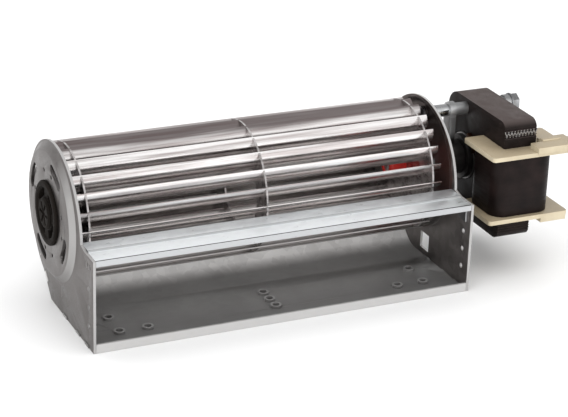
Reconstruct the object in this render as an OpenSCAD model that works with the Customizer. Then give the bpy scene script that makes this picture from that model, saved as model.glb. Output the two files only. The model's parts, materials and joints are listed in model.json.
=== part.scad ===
// Cross-flow blower with a C-frame shaded-pole motor on its right-hand side.
// X runs along the fan axis, -Y is the outlet side and Z = 0 is the base.
// The origin is the middle of the flat underside of the housing.

/* [Housing] */
// Width over the outer faces of the two side plates
housing_w = 176.5; // [140:0.5:360]
// Thickness of the side plates
plate_t = 1.2; // [0.8:0.1:2]
// Thickness of the scroll sheet and of the stabiliser sheet
shell_t = 1; // [0.6:0.1:1.6]
// Height of the fan axis above the base
axis_h = 43.4; // [42:0.1:50]
// Distance from the outlet edge back to the fan axis
axis_back = 51.3; // [48:0.1:60]
// Height of the outlet between the base and the top edge of the side plates
outlet_h = 41.6; // [40.5:0.1:43]
// How far the round part of the side plates passes the outside of the scroll sheet
rim_over = 0.2; // [0.2:0.1:1.2]
// How far the middle of the round part lies below the fan axis
rim_drop = 2.9; // [1.5:0.1:3]
// How far the middle of the round part lies in front of the fan axis
rim_fore = 1; // [0:0.1:1.2]
// Gap between the impeller and the scroll
scroll_gap = 2.2; // [1.4:0.1:3]
// Inner bend radius between the slope of the scroll and the floor
floor_bend_r = 14; // [8:1:20]
// Height of the scroll's back edge above the fan axis
back_edge_h = 7; // [4:0.5:9]
// Height of the turned-up lip at the front of the floor
lip_h = 3.9; // [3:0.1:6]
// Edge of the side plates beyond the outside of the scroll sheet
plate_margin = 1; // [0.6:0.1:1.2]

/* [Dish in the side plates] */
// Depth of the dish
dish_d = 2.4; // [1.6:0.1:2.6]
// Width of the rounded shoulder of the dish
dish_shoulder = 4; // [3.6:0.1:4.6]
// Radius of the hole in the middle of the dish
dish_hole_r = 12.2; // [11:0.1:12.6]
// Radius on which the four curved slots of the left-hand plate lie
slot_pitch_r = 22.6; // [21.5:0.1:23]
// Width of the curved slots
slot_w = 4.4; // [3:0.1:4.6]
// Half of the angle that a curved slot takes up, without its round ends
slot_half_angle = 12; // [8:1:12]
// Angle of the first curved slot above the rear horizontal
slot_first_angle = 27; // [27:1:33]
// Radius on which the eight small pierced holes lie
pin_pitch_r = 18.6; // [18:0.1:19]
// Radius of the small pierced holes
pin_hole_r = 0.9; // [0.5:0.1:1]

/* [Fixing holes] */
// Radius of the fixing holes in the side plates
side_hole_r = 1.2; // [0.8:0.1:1.6]
// Distance of the side fixing holes behind the outlet edge
side_hole_in = 5.8; // [5:0.1:7]
// Height of the lowest side fixing hole above the base
side_hole_h = 10.2; // [8:0.1:12]
// Distance from one side fixing hole to the next
side_hole_pitch = 8.4; // [6:0.1:8.6]
// Radius of the plunged holes in the floor
floor_hole_r = 1.6; // [1:0.1:1.8]
// Outer radius of the collar round a plunged hole
floor_collar_r = 2.5; // [2.3:0.1:3]
// Height of that collar above the floor
floor_collar_h = 1.2; // [0.8:0.1:2]
// Distance between the outer plunged holes along the fan
floor_hole_span = 144.4; // [120:0.2:170]
// Distance from the front plunged holes to the rear ones
floor_hole_depth = 14; // [12:0.5:18]
// Distance of the front plunged holes behind the outlet edge
floor_hole_in = 13.2; // [11:0.1:15]
// Distance of the inner front holes from the outer ones
floor_hole_step = 12.8; // [10:0.1:16]
// Side of the square window in the right-hand plate
window_w = 8; // [5:0.5:9]
// Distance of that window's front edge behind the outlet edge
window_in = 36.4; // [34:0.2:38]
// Height of the window's lower edge above the base
window_h = 3.7; // [3:0.1:5]

/* [Stabiliser] */
// Gap between the impeller and the stabiliser's rear edge
tongue_gap = 2.6; // [2:0.1:3]
// Distance of the crease in the stabiliser behind the outlet edge
crease_in = 9.8; // [8:0.1:12]
// Step of the stabiliser at its crease
crease_step = 0.7; // [0.4:0.1:1]
// Height of the stabiliser's front lip
front_lip_h = 2.6; // [2:0.1:4]
// Height of the flanges turned down at its ends
end_flange_h = 8; // [5:0.5:9]

/* [Impeller] */
// Radius of the impeller
impeller_r = 30; // [28:0.1:30.2]
// Depth of the ring of blades
blade_d = 8; // [6:0.1:9]
// Number of blades
blade_count = 23; // [18:1:30]
// Thickness of a blade
blade_t = 0.5; // [0.4:0.05:0.8]
// Radius of the curve across a blade
blade_curve_r = 8; // [7:0.1:10]
// Angle of the first blade above the rear horizontal
blade_first_angle = 14.4; // [0:0.2:16]
// Gap between the left-hand plate and the left-hand ends of the blades
blade_end_gap = 0.5; // [0.4:0.1:2]
// Space between the right-hand disc and the right-hand plate
motor_end_gap = 8.1; // [8:0.1:12]
// How far the blades reach past the end discs
blade_tail = 4.3; // [3.6:0.1:5]
// Thickness of the discs and of the middle ring
disc_t = 0.8; // [0.6:0.1:1.2]
// Radius of the hole through the middle ring
ring_hole_r = 19; // [16:0.5:21]

/* [Shafts and bearings] */
// Radius of the motor shaft and of the stub shaft
shaft_r = 3; // [2.5:0.1:3.4]
// Running clearance of a shaft in its bearing
shaft_clearance = 0.03; // [0.02:0.01:0.08]
// Outer radius of the sintered bearings
bush_r = 5.2; // [5:0.1:6]
// Length of the sintered bearings
bush_l = 7; // [6:0.1:7]
// Radius of the outer flange of the rubber bearing mount
mount_flange_r = 14.2; // [13.6:0.1:15]
// Radius of the hub of the rubber bearing mount
mount_hub_r = 7; // [6.8:0.1:8]
// Radius of the red silicone hub in the right-hand disc
silicone_r = 5.6; // [5.2:0.2:12]
// Length of the silicone hub inside the drum
silicone_l = 8; // [6:0.2:14]
// Length of the silicone hub outside the disc
silicone_out_l = 3.4; // [2:0.1:3.6]

/* [Motor] */
// Distance from the right-hand plate to the lamination stack
stack_off = 22.2; // [21.6:0.1:30]
// Thickness of the lamination stack
stack_t = 16.2; // [12:0.2:20]
// Distance of the motor screws from the upper and lower edge of the stack
screw_edge = 4.7; // [4.2:0.1:5.4]
// Height of the upper and of the lower leg of the stack
leg_h = 12; // [11:0.1:12.4]
// Reach of the stack in front of the fan axis
stack_front = 36.5; // [36:0.1:40]
// Reach of the stack behind the fan axis
stack_rear = 16; // [15:0.1:18]
// Width of the core bar inside the coil, front to back
core_w = 12; // [10:0.1:12.4]
// Radius of the rotor
rotor_r = 11; // [10:0.1:11.4]
// Air gap round the rotor
air_gap = 0.35; // [0.3:0.05:0.5]
// Depth of the winding over the bobbin tube
winding_d = 5.6; // [4:0.1:5.8]
// Thickness of the bobbin flanges
flange_t = 2; // [1.2:0.1:2.4]
// Overhang of the bobbin flanges on the side of the fan
flange_side = 10.2; // [9:0.1:11.5]
// Overhang of the bobbin flanges on the outer side
flange_outer = 14.2; // [12:0.1:16]
// Overhang of the bobbin flanges in front of the stack
flange_front = 9; // [8:0.1:10]
// Distance of the motor screws from the shoulder of the dish
screw_in = 3.5; // [3.4:0.1:5]
// Radius of the motor screws
screw_r = 2; // [1.5:0.1:2.2]
// Outer radius of the spacer tubes and of the pillars of the bearing bridges
pillar_r = 2.9; // [2.8:0.1:3.4]
// Distance from the stack to the arms of the inner bearing bridge
bridge_off = 6.6; // [5.6:0.1:8]
// Distance from the stack to the arms of the outer bearing bridge
outer_bridge_off = 3.2; // [3:0.1:8]
// Thickness of the arms of a bearing bridge
bridge_t = 3; // [2:0.1:3.4]
// Width of the arms of a bearing bridge
bridge_w = 6.4; // [6:0.1:8]
// Radius of the black cup round the inner motor bearing
cup_r = 11; // [10:0.1:12]

/* [Hidden] */

$fn = 72;
seat = 0.05;
fuse = 0.01;
far = 400;

plate_x = housing_w / 2;
inner_x = plate_x - plate_t;
scroll_r = impeller_r + scroll_gap;
scroll_out_r = scroll_r + shell_t;
slope_c = (scroll_out_r + plate_margin) * sqrt(2);
base_back = slope_c - axis_h;
axis_y = (axis_back - base_back) / 2;
top_z = outlet_h - axis_h;

screw_head_r = 3.3;
rim_r = scroll_out_r + rim_over + rim_fore;
rim_edge = 0.5;
dish_r = rim_r - rim_drop - rim_edge;
dish_face_r = dish_r - dish_shoulder;
screw_z = dish_face_r - screw_in;
screw_span = 2 * screw_z;
dish_outer_x = plate_x + dish_d;
dish_inner_x = inner_x + dish_d;

disc_left_x = -inner_x + blade_end_gap + blade_tail;
disc_right_x = inner_x - motor_end_gap;
drum_w = disc_right_x - disc_left_x;

stack_x = plate_x + stack_off;
stack_end_x = stack_x + stack_t;
stack_h = screw_span + 2 * screw_edge;
window_z = stack_h / 2 - leg_h;
core_back = stack_front - core_w;
tube_wall = 1;
coil_gap = 0.1;
tube_out = tube_wall + coil_gap;
window_back = core_back - tube_out - winding_d - 0.6;
bore_r = rotor_r + air_gap;
bridge_boss_r = 8;
bridge_pad_r = 3.8;
cup_t = 3;
screw_hole_r = screw_r + 0.1;
boss_in = 2.9;
boss_depth = bush_l + 0.4;
shaft_out = 2;
nut_h = 3.2;
washer_t = 0.8;
washer_r = 4.3;
head_h = 2.4;

// Moves a drawing from the fan axis to its place in the housing
module on_axis() {
    translate([0, axis_y, axis_h]) children();
}

// Turns a flat drawing in (y, z) about the fan axis into a slab from x to x + t
module slab(x, t) {
    translate([x, 0, 0]) rotate([90, 0, 90]) linear_extrude(t) children();
}

// Spins a profile of (radius, x) points round the fan axis
module spun() {
    rotate([0, 90, 0]) rotate_extrude($fn = 96) children();
}

// Rod along the fan axis
module rod(r, x, l) {
    translate([x, 0, 0]) rotate([0, 90, 0]) cylinder(r = r, h = l);
}

// Flat sector from angle a to angle b, less than half a turn
module wedge(a, b) {
    m = (a + b) / 2;
    polygon([[0, 0], far * [cos(a), sin(a)], 2 * far * [cos(m), sin(m)], far * [cos(b), sin(b)]]);
}

// Flat ring
module ring(r, w) {
    difference() {
        circle(r + w, $fn = 128);
        circle(r, $fn = 128);
    }
}

// Part of a flat ring from angle a to angle b
module ring_part(r, w, a, b) {
    intersection() {
        ring(r, w);
        wedge(a, b);
    }
}

// Curved slot centred on the first axis, with round ends
module curved_slot() {
    ring_part(slot_pitch_r - slot_w / 2, slot_w, -slot_half_angle, slot_half_angle);
    for (a = [-slot_half_angle, slot_half_angle]) {
        rotate(a) translate([slot_pitch_r, 0]) circle(slot_w / 2, $fn = 32);
    }
}

// Lugs of the scroll: [y, z, angle] about the fan axis, on the middle of the sheet
lug_w = 5;
lug_gap = 0.25;
lug_out = 0.3;
lug_floor_z = shell_t / 2 - axis_h;
slope_mid_r = scroll_r + shell_t / 2;
function slope_point(s) = slope_mid_r * [cos(45), -sin(45)] - s * [cos(45), sin(45)];
lugs = [
    [8.4 - axis_back, lug_floor_z, 0],
    [20 - axis_back, lug_floor_z, 0],
    [37 - axis_back, lug_floor_z, 0],
    [slope_point(17)[0], slope_point(17)[1], 45],
    [slope_point(4)[0], slope_point(4)[1], 45],
    [slope_mid_r, 3.4, 90]
];

module lug_shapes(extra) {
    for (l = lugs) {
        translate([l[0], l[1]]) rotate(l[2]) {
            square([lug_w + 2 * extra, shell_t + 2 * extra], center = true);
        }
    }
}

clinch_r = 1.3;
clinch_d = 0.5;
clinches = [[4.4 - axis_back, top_z - 4.4], [8 - axis_back, top_z - 4.4]];

shoulder_in = 0.4;
shoulder_up = 1.2;
shoulder_foot = 1;

module plate_outline() {
    shoulder = [shoulder_in - rim_r - rim_fore, top_z + shoulder_up];
    translate([-rim_fore, -rim_drop]) circle(rim_r, $fn = 144);
    polygon([
        [-axis_back, -axis_h], [slope_c - axis_h, -axis_h], [slope_c / 2, -slope_c / 2],
        [0, 0], shoulder, [crease_in - axis_back + shoulder_foot, top_z], [-axis_back, top_z]
    ]);
}

pin_angle = 15;
slit_w = 1.2;
slit_h = 5;

// The window marks the motor side; the other side has the curved slots and pierced holes
module plate_holes(with_window) {
    if (!with_window) for (k = [0 : 3]) {
        rotate(slot_first_angle + 90 * k) curved_slot();
        for (side = [-pin_angle, pin_angle]) {
            rotate(90 * k + side) translate([pin_pitch_r, 0]) circle(pin_hole_r, $fn = 24);
        }
    }
    for (k = [0 : 2]) {
        translate([side_hole_in - axis_back, side_hole_h - axis_h + k * side_hole_pitch]) {
            circle(side_hole_r, $fn = 32);
        }
    }
    lug_shapes(lug_gap);
    if (with_window) {
        translate([window_in - axis_back, window_h - axis_h]) square(window_w);
    } else {
        translate([window_in + window_w / 2 - axis_back, window_h + window_w / 2 - axis_h]) {
            square([slit_w, slit_h]);
        }
    }
}

// Share of the dish depth at the radius r, a smooth step from the mouth to the bottom
function dish_share(r) = (1 + cos(180 * (r - dish_face_r) / (dish_r - dish_face_r))) / 2;
dish_steps = 10;
dish_curve = [for (k = [0 : dish_steps]) dish_face_r + k * (dish_r - dish_face_r) / dish_steps];

// One side plate, with its outer face and its dish towards +X
module side_plate(with_window) {
    difference() {
        union() {
            slab(inner_x, plate_t) difference() {
                plate_outline();
                circle(dish_r, $fn = 96);
            }
            spun() polygon(concat(
                [[dish_hole_r, dish_inner_x]],
                [for (r = dish_curve) [r, inner_x + dish_d * dish_share(r)]],
                [for (k = [dish_steps : -1 : 0])
                    [dish_curve[k], plate_x + dish_d * dish_share(dish_curve[k])]],
                [[dish_hole_r, dish_outer_x]]
            ));
        }
        slab(inner_x - 1, plate_t + dish_d + 2) plate_holes(with_window);
        for (c = clinches) {
            translate([0, c[0], c[1]]) rod(clinch_r, plate_x - clinch_d, 2);
        }
        if (with_window) {
            for (side = [-1, 1]) translate([0, 0, side * screw_z]) {
                rod(screw_hole_r, inner_x, plate_t + dish_d + 1);
            }
        }
    }
}

module left_side_plate() {
    color("silver") on_axis() mirror([1, 0, 0]) side_plate(false);
}

module right_side_plate() {
    color("silver") on_axis() side_plate(true);
}

// Points of an arc about c from angle a to angle b, about 3 degrees apart
function arc(c, r, a, b) = let (n = ceil(abs(b - a) / 3))
    [for (k = [0 : n]) c + r * [cos(a + (b - a) * k / n), sin(a + (b - a) * k / n)]];

edge_bend_r = 1.5;
edge_turn = 60;
bend_out_r = floor_bend_r + shell_t;
floor_top_z = shell_t - axis_h;
floor_bend = [sqrt(2) * scroll_out_r - axis_h - bend_out_r * tan(22.5), floor_bend_r + floor_top_z];
edge_bend = [scroll_out_r + edge_bend_r, back_edge_h];

// Section of the scroll sheet: lip, floor, slope, curve round the impeller, turned-out back edge
module scroll_section() {
    polygon(concat(
        [[-axis_back, -axis_h]],
        arc(floor_bend, bend_out_r, -90, -45),
        arc([0, 0], scroll_out_r, -45, 0),
        arc(edge_bend, edge_bend_r, 180, 180 - edge_turn),
        arc(edge_bend, edge_bend_r + shell_t, 180 - edge_turn, 180),
        arc([0, 0], scroll_r, 0, -45),
        arc(floor_bend, floor_bend_r, -45, -90),
        [[shell_t - axis_back, floor_top_z], [shell_t - axis_back, lip_h - axis_h]],
        [[-axis_back, lip_h - axis_h]]
    ));
}

floor_holes = [
    for (side = [-1, 1]) [side * floor_hole_span / 2, floor_hole_in],
    for (side = [-1, 1]) [side * floor_hole_span / 2, floor_hole_in + floor_hole_depth],
    for (side = [-1, 1]) [side * (floor_hole_span / 2 - floor_hole_step), floor_hole_in],
    for (k = [0 : 2]) [0, floor_hole_in + k * floor_hole_depth / 2]
];

module scroll_housing() {
    color("gainsboro") on_axis() difference() {
        union() {
            slab(seat - inner_x, 2 * (inner_x - seat)) scroll_section();
            for (side = [0, 1]) mirror([side, 0, 0]) slab(inner_x - 1, 1 + plate_t + lug_out) lug_shapes(0);
            for (h = floor_holes) translate([h[0], h[1] - axis_back, -axis_h]) {
                cylinder(r = floor_collar_r, h = shell_t + floor_collar_h, $fn = 48);
            }
        }
        for (h = floor_holes) translate([h[0], h[1] - axis_back, -axis_h - 1]) {
            cylinder(r = floor_hole_r, h = shell_t + floor_collar_h + 2, $fn = 48);
        }
    }
}

flange_in = 3;

module stabiliser() {
    crease_y = crease_in - axis_back;
    low = top_z - shell_t;
    high = low + crease_step;
    tongue_y = -sqrt(pow(impeller_r + tongue_gap, 2) - pow(high, 2));
    color("lightsteelblue") on_axis() {
        slab(seat - inner_x, 2 * (inner_x - seat)) polygon([
            [-axis_back, low + shell_t - front_lip_h],
            [shell_t - axis_back, low + shell_t - front_lip_h],
            [shell_t - axis_back, low],
            [crease_y, low],
            [crease_y, low + shell_t],
            [-axis_back, low + shell_t]
        ]);
        slab(seat - inner_x, 2 * (inner_x - seat)) polygon([
            [crease_y - flange_in, low], [crease_y, low], [crease_y + crease_step, high], [tongue_y, high],
            [tongue_y, high + shell_t], [crease_y + crease_step / 2, high + shell_t],
            [crease_y - crease_step / 2, low + shell_t], [crease_y - flange_in, low + shell_t]
        ]);
        for (side = [0, 1]) mirror([side, 0, 0]) slab(inner_x - seat - shell_t, shell_t) {
            translate([flange_in - axis_back, low - end_flange_h]) {
                square([crease_in - flange_in, end_flange_h + shell_t]);
            }
        }
    }
}

hub_cap = 1.6;
lip_l = 1.6;
bore_stop_x = dish_outer_x + 2.2 - hub_cap;

// Rubber mount of the left-hand bearing, drawn towards +X
module bearing_mount() {
    hub_in = bore_stop_x - bush_l;
    hub_out = bore_stop_x + hub_cap;
    lip_x = dish_outer_x + lip_l;
    pocket_r = dish_hole_r - 1.2;
    color("black") on_axis() mirror([1, 0, 0]) difference() {
        spun() polygon([
            [0, hub_out], [mount_hub_r - 0.8, hub_out], [mount_hub_r, hub_out - 0.8],
            [mount_hub_r, dish_outer_x + lip_l / 2], [pocket_r, dish_outer_x + lip_l / 2],
            [dish_hole_r - 0.4, lip_x], [mount_flange_r - 0.6, lip_x], [mount_flange_r, lip_x - 0.6],
            [mount_flange_r, dish_outer_x + seat], [dish_hole_r - seat, dish_outer_x + seat],
            [dish_hole_r - seat, dish_inner_x - seat], [dish_hole_r + 1.2, dish_inner_x - seat],
            [dish_hole_r + 0.4, dish_inner_x - lip_l], [mount_hub_r, dish_inner_x - lip_l],
            [mount_hub_r, hub_in], [0, hub_in]
        ]);
        rod(bush_r + seat, hub_in - 1, bore_stop_x - hub_in + 1);
        // four pockets leave four webs between the hub and the ring
        for (k = [0 : 3]) slab(dish_inner_x - lip_l / 2, 2 * lip_l + dish_d) rotate(45 + 90 * k) {
            ring_part(mount_hub_r + 0.5, pocket_r - mount_hub_r - 0.5, -30, 30);
        }
        // star in the face of the hub
        slab(hub_out - hub_cap / 2, hub_cap) for (k = [0 : 2]) {
            rotate(60 * k) square([2 * mount_hub_r - 3.4, 1.4], center = true);
        }
    }
}

module end_bearing() {
    bearing_x = bore_stop_x - seat - bush_l;
    color("peru") on_axis() mirror([1, 0, 0]) difference() {
        rod(bush_r, bearing_x, bush_l);
        rod(shaft_r + shaft_clearance, bearing_x - 1, bush_l + 2);
    }
}

blade_in_r = impeller_r - blade_d;

// Section of one blade, grown by extra on both faces. Its inner edge is radial, on the first axis.
module blade_section(extra) {
    centre = [blade_in_r, -blade_curve_r];
    intersection() {
        translate(centre) ring(blade_curve_r - blade_t / 2 - extra, blade_t + 2 * extra);
        ring(blade_in_r - extra, blade_d + 2 * extra);
        rotate(atan2(centre[1], centre[0])) square(far);
    }
}

module blade_ring(extra) {
    for (k = [0 : blade_count - 1]) {
        rotate(blade_first_angle + k * 360 / blade_count) blade_section(extra);
    }
}

module impeller_blades() {
    color("whitesmoke") on_axis() {
        slab(disc_left_x - blade_tail, drum_w + 2 * blade_tail) blade_ring(0);
    }
}

blade_slot_gap = 0.04;

// Disc with a slot for each blade, its middle plane at x
module slotted_disc(x, hole_r) {
    slab(x - disc_t / 2, disc_t) difference() {
        circle(impeller_r, $fn = 144);
        circle(hole_r);
        intersection() {
            blade_ring(blade_slot_gap);
            circle(impeller_r - 0.25, $fn = 144);
        }
        // the rim is slit where a blade comes through it
        difference() {
            blade_ring(blade_slot_gap);
            circle(impeller_r - 0.3, $fn = 144);
        }
    }
}

stub_flange_r = 8;
stub_flange_t = 1.5;
stub_boss_r = 5;
stub_boss_l = 4;

module impeller_left_disc() {
    color("lightgray") on_axis() slotted_disc(disc_left_x, shaft_r + seat);
}

module impeller_middle_ring() {
    color("lightgray") on_axis() slotted_disc((disc_left_x + disc_right_x) / 2, ring_hole_r);
}

silicone_groove = 1.2;
silicone_neck_r = silicone_r - silicone_groove;

module impeller_right_disc() {
    color("lightgray") on_axis() slotted_disc(disc_right_x, silicone_neck_r + seat);
}

module stub_shaft() {
    flange_x = disc_left_x + disc_t / 2 + seat;
    end_x = 0.4 - bore_stop_x;
    color("gray") on_axis() {
        rod(shaft_r, end_x, flange_x - end_x + stub_flange_t);
        rod(stub_flange_r, flange_x, stub_flange_t);
        rod(stub_boss_r, flange_x, stub_boss_l);
    }
}

press = 0.02;
bevel = 1;

module silicone_hub() {
    x_in = disc_right_x - disc_t / 2 - seat;
    x_out = disc_right_x + disc_t / 2 + seat;
    color("firebrick") on_axis() spun() polygon([
        [shaft_r + press, x_in - silicone_l], [silicone_r - bevel, x_in - silicone_l],
        [silicone_r, x_in - silicone_l + bevel], [silicone_r, x_in], [silicone_neck_r, x_in],
        [silicone_neck_r, x_out], [silicone_r, x_out], [silicone_r, x_out + silicone_out_l - bevel],
        [silicone_r - bevel, x_out + silicone_out_l], [shaft_r + press, x_out + silicone_out_l]
    ]);
}

module drive_shaft() {
    start_x = disc_right_x - silicone_l;
    end_x = stack_end_x + boss_in + boss_depth + shaft_out;
    color("gray") on_axis() rod(shaft_r, start_x, end_x - start_x);
}

rotor_ring_l = 2.6;

module rotor_core() {
    color("dimgray") on_axis() difference() {
        rod(rotor_r, stack_x, stack_t);
        rod(shaft_r + press, stack_x - 1, stack_t + 2);
    }
}

module rotor_cage() {
    color("silver") on_axis() for (x = [stack_x - rotor_ring_l - seat, stack_end_x + seat]) {
        difference() {
            rod(rotor_r - 0.6, x, rotor_ring_l);
            rod(rotor_r - 4, x - 1, rotor_ring_l + 2);
        }
    }
}

module rounded_corner_cut(y, z, r, dy, dz) {
    // takes the sharp corner at (y, z) off, where dy and dz point into the body
    difference() {
        translate([dy > 0 ? y - 1 : y - r, dz > 0 ? z - 1 : z - r]) square(r + 1);
        translate([y + dy * r, z + dz * r]) circle(r, $fn = 64);
    }
}

leg_front_r = 4.5;
leg_rear_r = 8;
groove_r = 0.45;
band_in = 4.8;
band_pitch = 1.2;
pole_slit = 3;
bridge_iron = 1.2;

// The shading rings pass through these slots: angle about the axis of each slot's middle
shade_slot_r = bore_r + 2.2;
shade_w = 1.8;
shade_angles = [[118, 152], [298, 332]];

module shade_slots(extra) {
    for (pair = shade_angles) {
        for (a = pair) rotate(a) translate([shade_slot_r, 0]) square(shade_w + 2 * extra, center = true);
    }
}

module frame_section() {
    difference() {
        translate([-stack_front, -stack_h / 2]) square([stack_front + stack_rear, stack_h]);
        for (s = [-1, 1]) {
            rounded_corner_cut(-stack_front, s * stack_h / 2, leg_front_r, 1, -s);
            rounded_corner_cut(stack_rear, s * stack_h / 2, leg_rear_r, -1, -s);
            translate([0, s * screw_z]) circle(screw_hole_r, $fn = 32);
            for (k = [0 : 3]) translate([-stack_front, s * (window_z + band_in + band_pitch * k)]) {
                circle(groove_r, $fn = 24);
            }
        }
        translate([-stack_front - 1, -window_z]) square([stack_front - window_back + 1, 2 * window_z]);
        circle(bore_r, $fn = 96);
        // slits between the poles, with a thin bridge left in each
        translate([-window_back - 1, -pole_slit / 2]) {
            square([window_back - bore_r - bridge_iron + 1, pole_slit]);
        }
        translate([bore_r + bridge_iron, -pole_slit / 2]) square([stack_rear, pole_slit]);
        shade_slots(0.1);
    }
}

module stator_frame() {
    color("saddlebrown") on_axis() slab(stack_x, stack_t) frame_section();
}

module coil_core() {
    color("sienna") on_axis() slab(stack_x, stack_t) {
        translate([-stack_front, seat - window_z]) square([core_w, 2 * (window_z - seat)]);
    }
}

module shading_rings() {
    first_x = stack_x - shade_w - 0.1;
    color("chocolate") on_axis() {
        for (pair = shade_angles) {
            for (a = pair) rotate([a, 0, 0]) {
                translate([first_x, shade_slot_r - shade_w / 2, -shade_w / 2]) {
                    cube([stack_end_x + shade_w + 0.1 - first_x, shade_w, shade_w]);
                }
            }
            for (x = [first_x, stack_end_x + 0.1]) {
                slab(x, shade_w) ring_part(shade_slot_r - shade_w / 2, shade_w, pair[0], pair[1]);
            }
        }
    }
}

// Flat outline of a bobbin flange or of the winding, looking down: x by y
module core_rectangle(out_x, out_y, r) {
    x0 = stack_x - out_x;
    y0 = -stack_front - out_y;
    w = stack_t + 2 * out_x;
    d = core_w + 2 * out_y;
    translate([x0 + r, y0]) square([w - 2 * r, d]);
    translate([x0, y0 + r]) square([w, d - 2 * r]);
    for (cx = [x0 + r, x0 + w - r], cy = [y0 + r, y0 + d - r]) {
        translate([cx, cy]) circle(r, $fn = 64);
    }
}

tab_w = 2.8;
tab_t = 0.8;
tab_in = 2.5;
tab_pitch = 5.6;
tab_depth = 4;
tab_out = 6.5;
tab_gap = 0.1;
tab_hole_r = 0.6;
tab_z = window_z + 0.7;
block_w = 20;
block_over = 1.6;
block_up = 2.4;
block_d = 12.5;
ramp_x = stack_end_x + 2.4;
ramp_w = 9;
ramp_d = 5;
ramp_h = 3;
under_h = 2;
flange_r = 1.5;
flange_rear = core_back - window_back - 0.3;

module flange_sheet() {
    x0 = stack_x - flange_side;
    y0 = -stack_front - flange_front;
    w = stack_t + flange_side + flange_outer;
    d = core_w + flange_front + flange_rear;
    difference() {
        union() {
            translate([x0 + flange_r, y0]) square([w - 2 * flange_r, d]);
            translate([x0, y0 + flange_r]) square([w, d - 2 * flange_r]);
            for (cx = [x0 + flange_r, x0 + w - flange_r], cy = [y0 + flange_r, y0 + d - flange_r]) {
                translate([cx, cy]) circle(flange_r, $fn = 32);
            }
        }
        core_rectangle(coil_gap, coil_gap, 0.01);
    }
}

module bobbin() {
    flange_z = window_z - seat - flange_t;
    flange_end = stack_end_x + flange_outer;
    front_y = -stack_front - flange_front;
    tab_x = flange_end + block_over - tab_depth;
    ramp_y = front_y - 0.8 + block_d - ramp_d;
    color("blanchedalmond") on_axis() {
        translate([0, 0, flange_z]) linear_extrude(flange_t) flange_sheet();
        translate([0, 0, -flange_z - flange_t]) linear_extrude(flange_t) flange_sheet();
        translate([0, 0, -flange_z - fuse]) linear_extrude(2 * (flange_z + fuse)) difference() {
            core_rectangle(tube_out, tube_out, 0.5);
            core_rectangle(coil_gap, coil_gap, 0.01);
        }
        // terminal block on the upper flange, with a notch beside the leg of the stack
        difference() {
            translate([flange_end + block_over - block_w, front_y - 0.8, window_z - seat - 0.5]) {
                cube([block_w, block_d, block_up + 0.5]);
            }
            translate([stack_x - 2, -stack_front - 2.6, window_z - 2]) cube([stack_t + 4, 20, 10]);
            for (k = [0, 1]) {
                translate([tab_x, front_y + tab_in - tab_gap + tab_pitch * k, tab_z - tab_gap]) {
                    cube([tab_depth + 1, tab_w + 2 * tab_gap, tab_t + 2 * tab_gap]);
                }
            }
        }
        // ramp behind the terminals, along the leg of the stack
        translate([ramp_x, ramp_y, window_z - seat - fuse]) rotate([90, 0, 90]) linear_extrude(ramp_w) {
            polygon([[0, 0], [ramp_d, 0], [ramp_d, ramp_h / 2], [ramp_d / 2, ramp_h], [0, ramp_h]]);
        }
        // stiffening block under the lower flange
        translate([stack_end_x + 0.3, front_y, -flange_z - flange_t - under_h]) {
            cube([flange_outer - 1.2, 16, under_h + fuse]);
        }
    }
}

module coil_winding() {
    height = window_z - seat - flange_t - 0.1;
    color([0.2, 0.15, 0.13]) on_axis() translate([0, 0, -height]) linear_extrude(2 * height) difference() {
        core_rectangle(tube_out + winding_d, tube_out + winding_d, winding_d + 1);
        core_rectangle(tube_out + seat, tube_out + seat, 0.5);
    }
}

module terminals() {
    flange_end = stack_end_x + flange_outer;
    front_y = -stack_front - flange_front;
    tab_l = tab_depth + tab_out;
    color("silver") on_axis() for (k = [0, 1]) {
        translate([flange_end + block_over - tab_depth + seat, front_y + tab_in + tab_pitch * k, tab_z]) {
            difference() {
                cube([tab_l, tab_w, tab_t]);
                translate([tab_l - tab_w / 2 - tab_hole_r, tab_w / 2, -1]) {
                    cylinder(r = tab_hole_r, h = tab_t + 2, $fn = 24);
                }
            }
        }
    }
}

// Bearing bridge, drawn with its pillars on the face x = 0 and its arms towards -X, off from it
module bearing_bridge(off) {
    arm_x = -off - bridge_t;
    boss_x = -boss_in - boss_depth;
    difference() {
        union() {
            slab(arm_x, bridge_t) {
                translate([-bridge_w / 2, -screw_z]) square([bridge_w, screw_span]);
                for (s = [-1, 1]) translate([0, s * screw_z]) circle(bridge_pad_r, $fn = 48);
            }
            for (s = [-1, 1]) translate([0, 0, s * screw_z]) rod(pillar_r, arm_x, off + bridge_t);
            rod(bridge_boss_r, boss_x, boss_depth);
        }
        for (s = [-1, 1]) translate([0, 0, s * screw_z]) {
            rod(screw_hole_r, arm_x - 1, off + bridge_t + 2);
        }
        rod(bush_r + seat, boss_x - 1, boss_depth + 2);
    }
}

module inner_bearing_bridge() {
    color("darkgray") on_axis() translate([stack_x - seat, 0, 0]) bearing_bridge(bridge_off);
}

module outer_bearing_bridge() {
    color("darkgray") on_axis() translate([stack_end_x + seat, 0, 0]) mirror([1, 0, 0]) {
        bearing_bridge(outer_bridge_off);
    }
}

// Black cup pushed on the boss of the inner bridge, between the arms and the side plate
module bearing_cup() {
    boss_x = stack_x - seat - boss_in - boss_depth;
    back_x = stack_x - seat - bridge_off - bridge_t - seat;
    front_x = boss_x - seat - cup_t;
    color("black") on_axis() difference() {
        union() {
            rod(cup_r, front_x, cup_t);
            rod(cup_r - 1, front_x, back_x - front_x);
        }
        rod(bridge_boss_r + seat, boss_x - seat, boss_depth);
        rod(shaft_r + 1, front_x - 1, cup_t + 2);
    }
}

module motor_bearing() {
    bearing_x = -boss_in - boss_depth + 0.2;
    difference() {
        rod(bush_r, bearing_x, bush_l);
        rod(shaft_r + shaft_clearance, bearing_x - 1, bush_l + 2);
    }
}

module inner_motor_bearing() {
    color("peru") on_axis() translate([stack_x - seat, 0, 0]) motor_bearing();
}

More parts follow.
